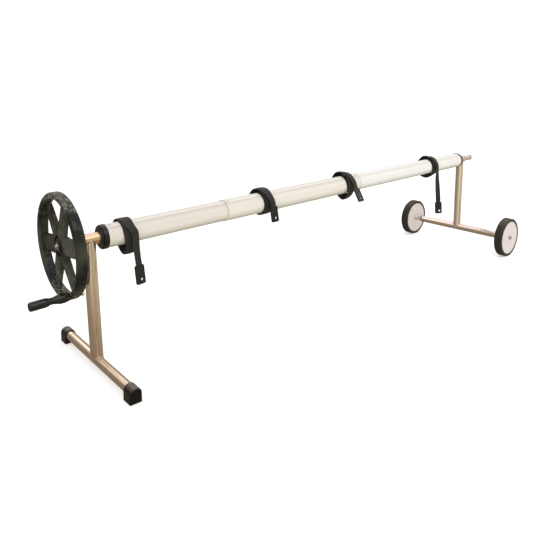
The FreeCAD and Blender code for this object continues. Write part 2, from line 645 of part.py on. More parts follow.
# ---- assembly ----
def build():
    parts = {}
    parts["foot_tube"] = cross_tube(FOOT_X, FOOT_AXIS_HEIGHT, FOOT_TUBE_D / 2, FOOT_TUBE_HALF)
    parts["foot_post"] = post(FOOT_X, FOOT_AXIS_HEIGHT, FOOT_TUBE_D / 2)
    parts["foot_head_sleeve"] = head_sleeve(FOOT_X)
    parts["foot_bush_outer"] = head_bush(FOOT_X, -1)
    parts["foot_bush_inner"] = head_bush(FOOT_X, 1)
    parts["foot_cap_front"] = foot_cap(-1)
    parts["foot_cap_back"] = foot_cap(1)

    near_screws = plug_screws(NEAR_TUBE_X[0], 1)
    parts["near_spindle"] = near_spindle()
    parts["near_end_plug"] = drill_for(end_plug(FOOT_X + PLUG_START, 1), near_screws)
    parts["near_tube"] = drill_for(reel_tube(SMALL_R, SMALL_TUBE_WALL, *NEAR_TUBE_X), near_screws)
    parts["near_plug_screws"] = near_screws
    parts["handwheel"] = handwheel()
    parts["handwheel_bolt"] = hub_bolt()
    parts["crank_pin"] = crank_pin()
    parts["crank_nut"] = crank_nut()
    parts["crank_grip"] = crank_grip()

    seam_a, seam_b = MIDDLE_TUBE_X
    locks_a = lock_screws(seam_a + LOCK_SCREW_PLACE)
    locks_b = lock_screws(seam_b - LOCK_SCREW_PLACE)
    locks = Part.makeCompound(locks_a.Solids + locks_b.Solids)
    parts["middle_tube"] = drill_for(reel_tube(MIDDLE_R, MIDDLE_TUBE_WALL, seam_a, seam_b), locks)
    parts["collar_near"] = drill_for(guide_collar(seam_a, -1), locks_a)
    parts["collar_far"] = drill_for(guide_collar(seam_b, 1), locks_b)
    parts["lock_screws"] = locks

    far_screws = plug_screws(FAR_TUBE_X[1], -1)
    parts["far_tube"] = drill_for(reel_tube(SMALL_R, SMALL_TUBE_WALL, *FAR_TUBE_X), far_screws)
    parts["far_end_plug"] = drill_for(end_plug(WHEEL_X - PLUG_START, -1), far_screws)
    parts["far_plug_screws"] = far_screws
    parts["far_spindle"] = far_spindle()
    parts["far_cross_pin"] = far_pin()
    parts["far_spindle_cap"] = far_cap()

    parts["axle_tube"] = cross_tube(WHEEL_X, FOOT_AXIS_HEIGHT, AXLE_TUBE_D / 2, AXLE_TUBE_HALF)
    parts["wheel_post"] = post(WHEEL_X, FOOT_AXIS_HEIGHT, AXLE_TUBE_D / 2)
    parts["wheel_head_sleeve"] = head_sleeve(WHEEL_X)
    parts["wheel_stand_bush_inner"] = head_bush(WHEEL_X, -1)
    parts["wheel_stand_bush_outer"] = head_bush(WHEEL_X, 1)
    parts["axle_rod"] = axle_rod()
    for side, place in ((-1, "front"), (1, "back")):
        parts["axle_plug_" + place] = axle_plug(side)
        parts["axle_spacer_" + place] = axle_spacer(side)
        parts["axle_cap_" + place] = axle_cap(side)
        parts["tyre_" + place] = tyre(side)
        parts["wheel_disc_" + place] = wheel_disc(side)
        parts["wheel_bush_" + place] = wheel_bush(side)

    for name, x, tube_r, above, below, front, back, reach, twist, lean in STRAPS:
        parts["strap_band_" + name] = strap_band(FOOT_X + x, tube_r, above, below, front, back)
        parts["strap_tail_" + name] = strap_tail(FOOT_X + x, front, reach, twist, lean)
        parts["strap_clip_" + name] = strap_clip(FOOT_X + x, front, reach, twist, lean)
    return parts


def stand_on_floor(parts):
    """Leans the level model about the foot tube until the wheels touch the floor; the feet stay flat."""
    foot_centre = V(FOOT_X, 0, FOOT_AXIS_HEIGHT)
    for node, shape in parts.items():
        if not node.startswith("foot_cap"):
            shape.rotate(foot_centre, Y_DIR, -LEAN)


def centre_on_origin(parts):
    """Moves the reel along X until its two ends, grip tip and wheels, are equally far from the origin."""
    low = parts["crank_grip"].optimalBoundingBox(False).XMin
    high = parts["tyre_front"].optimalBoundingBox(False).XMax
    for shape in parts.values():
        shape.translate(V(-(low + high) / 2, 0, 0))


model = build()
stand_on_floor(model)
centre_on_origin(model)
os.makedirs("parts", exist_ok=True)
for node, shape in model.items():
    shape.exportStep("parts/" + node + ".step")
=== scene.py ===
"""Looks for the pool cover reel: materials, webbing straps, finer mouldings, floor, light and camera.

Metres, +Z up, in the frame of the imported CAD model. The reel's axis leans up by a small angle from the
handwheel end (-X) to the wheeled end (+X). Places come from the CAD nodes' boxes, joints and mounts.
"""

import json
import math

import bpy
from mathutils import Matrix, Vector


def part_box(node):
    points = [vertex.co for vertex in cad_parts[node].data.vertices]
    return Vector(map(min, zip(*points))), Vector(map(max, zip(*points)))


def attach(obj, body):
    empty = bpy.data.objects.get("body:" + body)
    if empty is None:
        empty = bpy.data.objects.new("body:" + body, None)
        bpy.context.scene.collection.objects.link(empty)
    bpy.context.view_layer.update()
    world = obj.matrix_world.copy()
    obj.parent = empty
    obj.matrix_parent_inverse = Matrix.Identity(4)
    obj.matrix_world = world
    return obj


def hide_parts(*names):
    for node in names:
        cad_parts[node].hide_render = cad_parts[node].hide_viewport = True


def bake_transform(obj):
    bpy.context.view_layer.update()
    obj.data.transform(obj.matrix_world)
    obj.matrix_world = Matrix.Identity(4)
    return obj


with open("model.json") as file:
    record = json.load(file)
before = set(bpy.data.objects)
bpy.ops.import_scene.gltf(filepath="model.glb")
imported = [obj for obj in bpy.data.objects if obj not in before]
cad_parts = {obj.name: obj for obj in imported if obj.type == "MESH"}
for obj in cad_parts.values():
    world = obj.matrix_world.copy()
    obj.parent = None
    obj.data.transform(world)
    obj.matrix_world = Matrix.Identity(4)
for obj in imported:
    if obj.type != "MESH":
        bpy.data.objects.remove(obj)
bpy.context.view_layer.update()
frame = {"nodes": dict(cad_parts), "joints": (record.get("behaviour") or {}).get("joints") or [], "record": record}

NODES = frame["nodes"]
JOINTS = {joint["name"]: joint for joint in frame["joints"]}
MOUNTS = {mount["name"]: mount for mount in frame["record"]["mounts"]}
MM = 0.001

# ---- camera ----
CAMERA_PLACE = (-1.71462, -1.5678, 0.9051)
CAMERA_YAW = 41.607      # degrees from +Y towards +X
CAMERA_PITCH = 8.4745    # degrees below the horizon
CAMERA_ROLL = -0.8213
CAMERA_LENS = 35.10      # mm
CAMERA_SENSOR = 36.0     # mm
CAMERA_SHIFT = (0.0112, -0.1977)

# ---- the reel's own axes ----
ALONG = Vector(JOINTS["reel_spin"]["axis"]).normalized()
ACROSS = Vector((0.0, 1.0, 0.0))
UP = ALONG.cross(ACROSS)
REEL_START = Vector(JOINTS["reel_spin"]["pos_m"])


def reel_point(x, y, z):
    """Point x along, y across and z above the reel's axis, from the foot post."""
    return REEL_START + ALONG * x + ACROSS * y + UP * z


def box_centre(node):
    """Centre of a CAD node's box at rest."""
    low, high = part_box(node)
    return (low + high) / 2


# ---- node helper ----
class Graph:
    """Short way to build a node tree: g.add(type, {input: value or socket}, property=value)."""

    def __init__(self, owner):
        owner.use_nodes = True
        self.tree = owner.node_tree
        self.tree.nodes.clear()

    def add(self, kind, inputs=None, **properties):
        node = self.tree.nodes.new(kind)
        for key, value in properties.items():
            setattr(node, key, value)
        for key, value in (inputs or {}).items():
            if isinstance(value, bpy.types.NodeSocket):
                self.tree.links.new(value, node.inputs[key])
            else:
                node.inputs[key].default_value = value
        return node

    def math(self, operation, a, b=0.0, c=0.0):
        return self.add("ShaderNodeMath", {0: a, 1: b, 2: c}, operation=operation).outputs[0]

    def mix(self, factor, a, b):
        node = self.add("ShaderNodeMix", data_type="RGBA")
        for index, value in ((0, factor), (6, a), (7, b)):
            if isinstance(value, bpy.types.NodeSocket):
                self.tree.links.new(value, node.inputs[index])
            else:
                node.inputs[index].default_value = value
        return node.outputs[2]

    def ramp(self, factor, stops):
        """Colour by factor, easing between stops of (place, colour)."""
        node = self.add("ShaderNodeValToRGB", {"Fac": factor})
        ramp = node.color_ramp
        ramp.interpolation = "EASE"
        while len(ramp.elements) < len(stops):
            ramp.elements.new(0.5)
        for element, (place, colour) in zip(ramp.elements, stops):
            element.position = place
            element.color = colour
        return node.outputs[0]

    def noise(self, vector, scale, detail=3.0, roughness=0.5):
        values = {"Vector": vector, "Scale": scale, "Detail": detail, "Roughness": roughness}
        return self.add("ShaderNodeTexNoise", values).outputs["Fac"]

    def stretched(self, source, factors):
        return self.add("ShaderNodeMapping", {"Vector": source, "Scale": factors}).outputs[0]

    def bump(self, height, strength, distance):
        values = {"Height": height, "Strength": strength, "Distance": distance}
        return self.add("ShaderNodeBump", values).outputs[0]


def grey(level):
    """Neutral colour of that level."""
    return (level, level, level, 1.0)


def material(name, build):
    """Material whose shader inputs come from build(graph, place on the object)."""
    made = bpy.data.materials.new(name)
    graph = Graph(made)
    place = graph.add("ShaderNodeTexCoord").outputs["Object"]
    values = build(graph, place)
    shader = graph.add("ShaderNodeBsdfPrincipled", values)
    graph.add("ShaderNodeOutputMaterial", {"Surface": shader.outputs[0]})
    return made


# ---- materials ----
# painted shade on the reel's tubes, with lighter painted bands, by how far the surface faces up: 0 is straight
# down, 1 straight up
TUBE_PAINTED_SHADE = (
    (0.00, (0.42, 0.42, 0.34, 1.0)),
    (0.14, (0.55, 0.55, 0.46, 1.0)),
    (0.30, (0.78, 0.78, 0.71, 1.0)),
    (0.46, (0.88, 0.87, 0.84, 1.0)),
    (0.72, (0.84, 0.83, 0.81, 1.0)),
    (0.86, (0.78, 0.77, 0.75, 1.0)),
    (0.97, (0.92, 0.92, 0.91, 1.0)),
)


def stainless(pale, deep):
    """Polished tube with fine upright lines and faint cloudy patches."""
    def build(g, place):
        clouds = g.noise(place, 9.0, 2.0)
        lines = g.noise(g.stretched(place, (260.0, 260.0, 3.0)), 1.0, 2.0)
        return {"Base Color": g.mix(clouds, pale, deep), "Metallic": 1.0,
                "Roughness": g.math("MULTIPLY_ADD", lines, 0.10, 0.10),
                "Normal": g.bump(lines, 0.05, 0.4 * MM)}
    return build


def sleeve_metal(g, place):
    """Polished steel of a warmer colour, with fine lines along the sleeve."""
    lines = g.noise(g.stretched(place, (3.0, 200.0, 200.0)), 1.0, 2.0)
    colour = g.mix(lines, (0.86, 0.62, 0.40, 1.0), (0.76, 0.53, 0.33, 1.0))
    return {"Base Color": colour, "Metallic": 1.0, "Roughness": 0.2,
            "Normal": g.bump(lines, 0.05, 0.4 * MM)}


def steel(g, place):
    """Zinc plating with fine spangle."""
    spots = g.noise(place, 180.0, 3.0)
    colour = g.mix(spots, (0.66, 0.61, 0.54, 1.0), (0.78, 0.73, 0.66, 1.0))
    return {"Base Color": colour, "Metallic": 1.0, "Roughness": g.math("MULTIPLY_ADD", spots, 0.2, 0.2)}


def weld(g, place):
    """Dull, straw-coloured bead of weld metal."""
    spots = g.noise(place, 300.0, 3.0)
    colour = g.mix(spots, (0.42, 0.33, 0.25, 1.0), (0.66, 0.56, 0.46, 1.0))
    return {"Base Color": colour, "Metallic": 1.0, "Roughness": 0.38,
            "Normal": g.bump(spots, 0.3, 0.6 * MM)}


def facing_up(g):
    """How far the surface faces up: -1 is straight down, 1 straight up."""
    normal = g.add("ShaderNodeNewGeometry").outputs["Normal"]
    return g.add("ShaderNodeSeparateXYZ", {"Vector": normal}).outputs["Z"]


def anodised(pale, deep, tint):
    """Satin off-white tube with faint drawing lines along it, darkened by painted shade where it faces down."""
    def build(g, place):
        lines = g.noise(g.stretched(place, (1.2, 150.0, 150.0)), 1.0, 4.0, 0.6)
        patches = g.noise(g.stretched(place, (5.0, 14.0, 14.0)), 1.0, 2.0)
        colour = g.mix(g.math("MULTIPLY_ADD", lines, 0.8, 0.1), pale, deep)
        colour = g.mix(g.math("MULTIPLY", patches, 0.3), colour, tint)
        # painted shade: darkest where the tube faces down, multiplied into its colour
        shade = g.ramp(g.math("MULTIPLY_ADD", facing_up(g), 0.5, 0.5), TUBE_PAINTED_SHADE)
        inputs = {6: colour, 7: shade, 0: 1.0}
        colour = g.add("ShaderNodeMix", inputs, data_type="RGBA", blend_type="MULTIPLY").outputs[2]
        return {"Base Color": colour, "Metallic": 0.1, "Roughness": 0.42,
                "Normal": g.bump(lines, 0.06, 0.4 * MM)}
    return build


def rubber(g, place):
    """Black rubber with a painted brownish reflection where it faces up."""
    grain = g.noise(place, 420.0, 3.0)
    broad = g.noise(place, 14.0, 2.0)
    colour = g.mix(broad, (0.003, 0.003, 0.0025, 1.0), (0.008, 0.0065, 0.005, 1.0))
    # painted reflection: brownish tone on the tops that face up
    painted_top_sheen = g.ramp(facing_up(g), ((0.45, grey(0)), (0.80, grey(0.25)), (0.99, grey(1))))
    colour = g.mix(painted_top_sheen, colour, (0.14, 0.115, 0.095, 1.0))
    return {"Base Color": colour, "Specular IOR Level": 0.2,
            "Roughness": g.math("MULTIPLY_ADD", grain, 0.15, 0.30),
            "Normal": g.bump(grain, 0.12, 0.4 * MM)}


def tyre_rubber(g, place):
    """Scuffed black rubber mottled by dust, with a painted brownish sheen where it faces up."""
    grain = g.noise(place, 300.0, 3.0)
    dust = g.noise(place, 24.0, 4.0)
    colour = g.mix(dust, (0.012, 0.011, 0.008, 1.0), (0.035, 0.029, 0.021, 1.0))
    # painted sheen: olive-brown tone on the top of the tyre, where it faces up
    painted_top_sheen = g.ramp(facing_up(g), ((0.55, grey(0)), (0.98, grey(1))))
    colour = g.mix(painted_top_sheen, colour, (0.11, 0.092, 0.062, 1.0))
    return {"Base Color": colour, "Specular IOR Level": 0.3,
            "Roughness": g.math("MULTIPLY_ADD", dust, 0.2, 0.45),
            "Normal": g.bump(grain, 0.2, 0.5 * MM)}


def plastic(dark, light, roughness, grain_strength):
    """Moulded plastic, its colour and gloss varying slowly over a fine grain."""
    def build(g, place):
        grain = g.noise(place, 500.0, 2.0)
        broad = g.noise(place, 12.0, 2.0)
        return {"Base Color": g.mix(broad, dark, light), "Specular IOR Level": 0.35,
                "Roughness": g.math("MULTIPLY_ADD", broad, 0.1, roughness),
                "Normal": g.bump(grain, grain_strength, 0.3 * MM)}
    return build


def gloss_black(g, place):
    """Glossy moulding: a slow ripple breaks up its highlights; painted highlight flecks lie above and below the
    hub.
    """
    ripple = g.noise(place, 55.0, 3.0)
    broad = g.noise(place, 8.0, 2.0)
    # painted olive sheen in broad patches over the black
    sheen = g.ramp(broad, ((0.42, grey(0)), (0.62, grey(1))))
    colour = g.mix(sheen, (0.006, 0.0075, 0.005, 1.0), (0.040, 0.045, 0.031, 1.0))
    # painted highlights: pale flecks, more of them the further from the hub's height
    height = g.add("ShaderNodeSeparateXYZ", {"Vector": place}).outputs["Z"]
    off_hub = g.math("ABSOLUTE", g.math("SUBTRACT", height, REEL_START.z))
    wear_and_glint = g.math("MULTIPLY_ADD", off_hub, 2.6, g.math("MULTIPLY", g.noise(place, 16.0, 1.0), 0.6))
    flecks = g.ramp(g.noise(place, 95.0, 3.0, 0.6), ((0.50, grey(0)), (0.64, grey(1))))
    painted_glints = g.math("MULTIPLY", flecks, g.ramp(wear_and_glint, ((0.56, grey(0)), (0.72, grey(1)))))
    colour = g.mix(painted_glints, colour, (0.20, 0.172, 0.14, 1.0))
    return {"Base Color": colour, "Specular IOR Level": 0.2,
            "Roughness": g.math("MULTIPLY_ADD", broad, 0.10, 0.05),
            "Normal": g.bump(ripple, 0.7, 6 * MM)}


def webbing(g, place):
    """Woven tape: ribs across it and a plait along it, laid out on the strip's own map in metres."""
    lay = g.add("ShaderNodeUVMap").outputs[0]
    ribs = {"Vector": g.stretched(lay, (0.0, 520.0, 1.0)), "Scale": 0.5, "Distortion": 0.6}
    rib = g.add("ShaderNodeTexWave", ribs, bands_direction="Y").outputs["Fac"]
    plaits = {"Vector": g.stretched(lay, (620.0, 620.0, 1.0)), "Scale": 0.35}
    plait = g.add("ShaderNodeTexWave", plaits, bands_direction="DIAGONAL").outputs["Fac"]
    weave = g.math("MULTIPLY", rib, plait)
    wear_and_glint = g.noise(place, 60.0, 4.0)
    dark = g.mix(wear_and_glint, (0.007, 0.006, 0.005, 1.0), (0.020, 0.018, 0.015, 1.0))
    colour = g.mix(g.math("MULTIPLY", weave, 0.5), dark, (0.045, 0.043, 0.036, 1.0))
    return {"Base Color": colour, "Roughness": 0.6, "Specular IOR Level": 0.3,
            "Sheen Weight": 0.06, "Sheen Roughness": 0.4,
            "Normal": g.bump(weave, 0.5, 0.6 * MM)}


def thread(g, place):
    """Dark sewing thread, mottled by its twist."""
    twist = g.noise(place, 900.0, 2.0)
    colour = g.mix(twist, (0.05, 0.048, 0.042, 1.0), (0.12, 0.115, 0.10, 1.0))
    return {"Base Color": colour, "Roughness": 0.6}


# a look for each material slot of the record, and for the nodes and pieces that differ from their slot
LOOKS = {
    "stainless": material("polished_stainless", stainless((0.71, 0.60, 0.475, 1), (0.61, 0.50, 0.39, 1))),
    "far_stainless": material("far_stainless", stainless((0.76, 0.67, 0.58, 1), (0.68, 0.59, 0.51, 1))),
    "sleeve": material("sleeve_stainless", sleeve_metal),
    "zinc_steel": material("zinc_steel", steel),
    "weld": material("weld_bead", weld),
    "tube_aluminium": material("near_tube_satin", anodised(
        (0.83, 0.79, 0.725, 1), (0.73, 0.69, 0.63, 1), (0.80, 0.74, 0.72, 1))),
    "middle_tube": material("middle_tube_satin", anodised(
        (0.86, 0.83, 0.77, 1), (0.76, 0.73, 0.67, 1), (0.82, 0.77, 0.76, 1))),
    "far_tube": material("far_tube_satin", anodised(
        (0.92, 0.915, 0.89, 1), (0.82, 0.82, 0.80, 1), (0.90, 0.87, 0.86, 1))),
    "black_rubber": material("foot_rubber", rubber),
    "tyre_rubber": material("tyre_rubber", tyre_rubber),
    "black_plastic": material("black_plastic", plastic(
        (0.004, 0.004, 0.0035, 1), (0.012, 0.011, 0.009, 1), 0.26, 0.1)),
    "gloss_black": material("gloss_black", gloss_black),
    "grip_plastic": material("grip_plastic", plastic(
        (0.004, 0.005, 0.004, 1), (0.012, 0.013, 0.011, 1), 0.16, 0.04)),
    "white_plastic": material("wheel_plastic", plastic(
        (0.62, 0.555, 0.525, 1), (0.68, 0.62, 0.595, 1), 0.42, 0.08)),
    "grey_plastic": material("grey_plastic", plastic(
        (0.26, 0.235, 0.20, 1), (0.36, 0.33, 0.29, 1), 0.4, 0.08)),
    "collar_plastic": material("collar_plastic", plastic(
        (0.52, 0.46, 0.40, 1), (0.62, 0.56, 0.49, 1), 0.45, 0.05)),
    "black_webbing": material("webbing", webbing),
    "thread": material("thread", thread),
}
# nodes that differ from their slot
OWN_LOOK = {
    "middle_tube": "middle_tube",
    "far_tube": "far_tube",
    "foot_head_sleeve": "sleeve",
    "wheel_head_sleeve": "far_stainless",
    "wheel_post": "far_stainless",
    "axle_tube": "far_stainless",
    "collar_near": "collar_plastic",
    "collar_far": "collar_plastic",
}
SLOT_OF = {part["node"]: part["material_slot"] for part in frame["record"]["subparts"]}

for node, cad_object in NODES.items():
    cad_object.data.materials.clear()
    cad_object.data.materials.append(LOOKS[OWN_LOOK.get(node, SLOT_OF[node])])


# ---- mesh helpers ----
BEAD_RIPPLE_STEP = 2.4     # radians of ripple from one station of a bead to the next


def piece(name, points, faces, look, body=None, lay=None):
    """New smooth mesh object. lay gives each point its place on the strip's map."""
    mesh = bpy.data.meshes.new(name)
    mesh.from_pydata([tuple(p) for p in points], [], faces)
    mesh.validate()
    mesh.polygons.foreach_set("use_smooth", [True] * len(mesh.polygons))
    if lay:
        layer = mesh.uv_layers.new(name="lay")
        for loop in mesh.loops:
            layer.data[loop.index].uv = lay[loop.vertex_index]
    mesh.materials.append(LOOKS[look])
    made = bpy.data.objects.new(name, mesh)
    bpy.context.scene.collection.objects.link(made)
    if body:
        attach(made, body)
    return made


def skin(rings, closed):
    """Faces between rings of equal length, each ring closed. Open runs get end caps."""
    count = len(rings)
    size = len(rings[0])
    faces = []
    for i in range(count if closed else count - 1):
        a, b = i * size, (i + 1) % count * size
        faces += [(a + k, a + (k + 1) % size, b + (k + 1) % size, b + k) for k in range(size)]
    if not closed:
        faces.append(tuple(reversed(range(size))))
        faces.append(tuple(range((count - 1) * size, count * size)))
    return [p for ring in rings for p in ring], faces


def bead(name, path, radius, look, body, ripple=0.0, sides=8):
    """Closed round bead along a closed path, its thickness rippling a little."""
    rings = []
    for i, point in enumerate(path):
        onward = (path[(i + 1) % len(path)] - path[i - 1]).normalized()
        side = onward.orthogonal() if i == 0 else side - onward * side.dot(onward)
        side.normalize()
        other = onward.cross(side)
        r = radius * (1 + ripple * math.sin(i * BEAD_RIPPLE_STEP))
        turns = [2 * math.pi * k / sides for k in range(sides)]
        rings.append([point + side * (r * math.cos(t)) + other * (r * math.sin(t)) for t in turns])
    points, faces = skin(rings, True)
    return piece(name, points, faces, look, body)


def smooth_value(values, t):
    """Smooth curve through evenly spaced values, t from 0 to 1."""
    last = len(values) - 1
    t *= last
    i = min(math.floor(t), last - 1)
    f = t - i
    a, b, c, d = (values[max(0, min(last, i + k))] for k in (-1, 0, 1, 2))
    square = 2 * a - 5 * b + 4 * c - d
    cube = 3 * b - a - 3 * c + d
    return 0.5 * (2 * b + (c - a) * f + square * f ** 2 + cube * f ** 3)


# section of woven tape along its outer face: share of the half width, share of the half thickness
TAPE_FACE = (
    (-1.0, 0.35), (-0.97, 0.95), (-0.90, 1.0), (-0.84, 0.82), (-0.4, 0.80), (0.0, 0.80), (0.4, 0.80),
    (0.84, 0.82), (0.90, 1.0), (0.97, 0.95), (1.0, 0.35),
)
TAPE_SECTION = ((-1.0, -0.35),) + TAPE_FACE + tuple((-u, -v) for u, v in TAPE_FACE[:-1])


def tape(name, stations, body=None):
    """Strip of webbing through stations (point, width direction, normal, width, thickness, curl)."""
    rings, lay, run = [], [], 0.0
    for i, (point, wide, normal, width, thick, curl) in enumerate(stations):
        if i:
            run += (point - stations[i - 1][0]).length
        ring = []
        for u, v in TAPE_SECTION:
            ring.append(point + wide * (u * width / 2) + normal * (v * thick / 2 + curl * u * u))
            lay.append((u * width / 2, run))
        rings.append(ring)
    points, faces = skin(rings, False)
    return piece(name, points, faces, "black_webbing", body, lay)


# ---- webbing straps ----
BAND_WIDTH = 38 * MM
BAND_THICK = 2.2 * MM
TAIL_WIDTH = 25 * MM
TAIL_GAP = 0.2 * MM        # tail slimmer than the band's end, all round
TAIL_LAP = 5 * MM          # tail running up into the band's end
TAIL_STATIONS = 60
TAIL_SWAY = 0.02           # how far the hanging tail bows out, as a share of its length
TAIL_TWIST = 0.8           # share of the tail over which it twists to lie flat in its clip

CLIP_LENGTH = 62 * MM
CLIP_WIDTH = 35 * MM
CLIP_THICK = 6 * MM
CLIP_SOCKET = 13 * MM      # depth of webbing held in the clip
CLIP_EYE_EDGE = 15 * MM    # eye to the clip's lower end
CLIP_EYE_SIDE = 5 * MM     # eye off the clip's middle line
BORDER_R = 1.7 * MM
BORDER_INSET = 2.2 * MM
BORDER_CORNER = 4.5 * MM
EYE_RING_R = 7 * MM
EYE_RING_BEAD = 1.5 * MM
EYE_RING_STATIONS = 32
RIB_HALF = (11 * MM, 1.1 * MM)
RIB_CORNER = 1.0 * MM
RIB_BEAD = 0.9 * MM
RIB_FIRST = 9 * MM         # clip's upper end to its first rib
RIB_PITCH = 7 * MM
RIBS = 3
MOULDING_SINK = 0.3 * MM   # how deep the mouldings sit in the clip's faces

# Each strap starts flat on the back of the tube and runs two and a half times round it, over the crown and
# down the front, to its tail. Values lie 45 degrees apart along that way, four to a half turn: radii of the
# near edge, how much lower the far edge lies, and sideways places from the band's middle, all in mm.
STRAP_SHAPES = {
    "1": ((39.1, 39.1, 39.1, 39.1, 39.3, 49, 69, 53, 49, 47, 42, 41.6, 41.6, 52.5, 73.5, 57, 52, 50, 45, 44),
          (0, 0, 0, 0, 0, 8, 20, 12, 6, 4, 1, 0, 0, 0, 0, 0, 0, 0, 0, 0),
          (-10, -10, -10, -10, -9, -4, 2, -2, -7, -8, -8, -9, -8, -3, 2, -2, -8, -8, -7, -5)),
    "2": ((41.3, 41.3, 41.3, 41.3, 41.5, 43.5, 45, 48, 58, 58.5,
           54.5, 48, 44.5, 46.5, 48.5, 51, 60.5, 60.5, 56, 52.5),
          (0, 0, 0, 0, 0, 2, 4, 6, 14, 14, 10, 4, 0, 0, 0, 0, 0, 0, 0, 0),
          (-10, -10, -10, -9, -8, -8, -5, -4, -6, -7, -6, -6, -6, -6, -4, -3, -5, -6, -3, -1)),
    "3": ((41.3, 41.3, 41.3, 41.3, 41.5, 53.5, 67, 53, 58, 62, 58.5, 51, 44.5, 56, 69.5, 56, 62, 65, 60, 54),
          (0, 0, 0, 0, 0, 11, 23, 12, 16, 18, 14, 7, 0, 3, 5, 3, 3, 5, 6, 2),
          (-12, -12, -12, -14, -14, -7, 0, -3, -5, -7, -6, -8, -9, -5, 2, -3, -5, -6, -3, -1)),
    "4": ((39.1, 39.1, 39.1, 39.1, 39.3, 48, 60, 67, 64, 61, 53.3, 45.5, 42, 50, 62, 70, 66.5, 63, 55, 48),
          (0, 0, 0, 0, 0, 9, 19, 22, 22, 19, 14, 5, 0, 2, 5, 4, 4, 5, 6, 2),
          (-10, -10, -10, -10, -10, -4, 0, 2, 4, 5, 4, 2, -2, -2, 0, 2, 6, 8, 8, 6)),
}
STRAP_START_ANGLE = 180.0
STRAP_STEP = 45.0
STATIONS = 300
SLACK_REACH = 25 * MM      # stand-off at which the webbing hangs fully loose
SLACK_END = (0.86, 0.10)   # share of the strap where slack starts to die away, and over what share
WAVE_HEIGHT = 0.9 * MM     # small waves in loose webbing
WAVE_TURNS = 110.0         # their radians along the whole strap
EDGE_CURL = 2.0 * MM       # how far the edges of loose webbing curl outward
NARROWING = (0.90, 0.095)  # share of the strap where it narrows to the tail, and over what share
SLOPE_STEP = 0.002         # share of the strap over which its direction is measured

# rectangle of stitches: its ends as shares of the strap, and its half width
STITCHED = (0.922, 0.948)
STITCHED_HALF = 11 * MM
STITCH_PITCH = 3.2 * MM
STITCH_LENGTH = 2.3 * MM
STITCH_R = 0.45 * MM
STITCH_SIDES = 6
STITCH_PROFILE = ((-0.5, 0.25), (-0.25, 1.0), (0.25, 1.0), (0.5, 0.25))  # shares of length and radius
STITCH_LIFT = 0.42         # height of the stitches' middle over the webbing's, as a share of its thickness


def ease(t):
    """Smooth step from 0 to 1, flat outside that range."""
    t = max(0.0, min(1.0, t))
    return t * t * (3 - 2 * t)


def strap_path(name):
    """Function of t, which goes from 0 to 1 from the strap's start to its tail.

    It gives the webbing's middle, the drop of its far edge, the outward direction and its slack, 0 to 1.
    """
    middle = (box_centre("strap_band_" + name) - REEL_START).dot(ALONG)
    tail_start = Vector(JOINTS["strap_swing_" + name]["pos_m"])
    radii, drops, places = STRAP_SHAPES[name]
    radii = [r * MM for r in radii] + [-tail_start.y]
    drops = [d * MM for d in drops] + [0.0]
    places = [middle + x * MM for x in places] + [(tail_start - REEL_START).dot(ALONG)]
    turn = STRAP_STEP * (len(radii) - 1)

    def at(t):
        angle = math.radians(STRAP_START_ANGLE - turn * t)
        near_edge = smooth_value(radii, t)
        slack = ease((near_edge - radii[0]) / SLACK_REACH) * (1 - ease((t - SLACK_END[0]) / SLACK_END[1]))
        drop = max(0.0, smooth_value(drops, t))
        r = near_edge - drop / 2 + slack * WAVE_HEIGHT * math.sin(t * WAVE_TURNS)
        outward = UP * math.sin(angle) - ACROSS * math.cos(angle)
        return reel_point(smooth_value(places, t), 0.0, 0.0) + outward * r, drop, outward, slack
    return at


def strap_station(at, t):
    """Station of the strap for tape(), at share t of its length."""
    point, drop, outward, slack = at(t)
    onward = (at(min(t + SLOPE_STEP, 1.0))[0] - at(max(t - SLOPE_STEP, 0.0))[0]).normalized()
    if t >= 1.0:
        onward = -UP
    width = BAND_WIDTH + (TAIL_WIDTH - BAND_WIDTH) * ease((t - NARROWING[0]) / NARROWING[1])
    rise = drop / width
    wide = ALONG * math.sqrt(1 - rise * rise) - outward * rise
    wide = (wide - onward * onward.dot(wide)).normalized()
    return point, wide, wide.cross(onward), width, BAND_THICK, slack * EDGE_CURL


def strap_band(name, body):
    """Loosely wound band, stitched where its last turn comes down to the tail."""
    at = strap_path(name)
    stations = [strap_station(at, i / STATIONS) for i in range(STATIONS + 1)]
    made = tape("webbing_band_" + name, stations, body)
    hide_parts("strap_band_" + name)
    stitches(name, body, at)


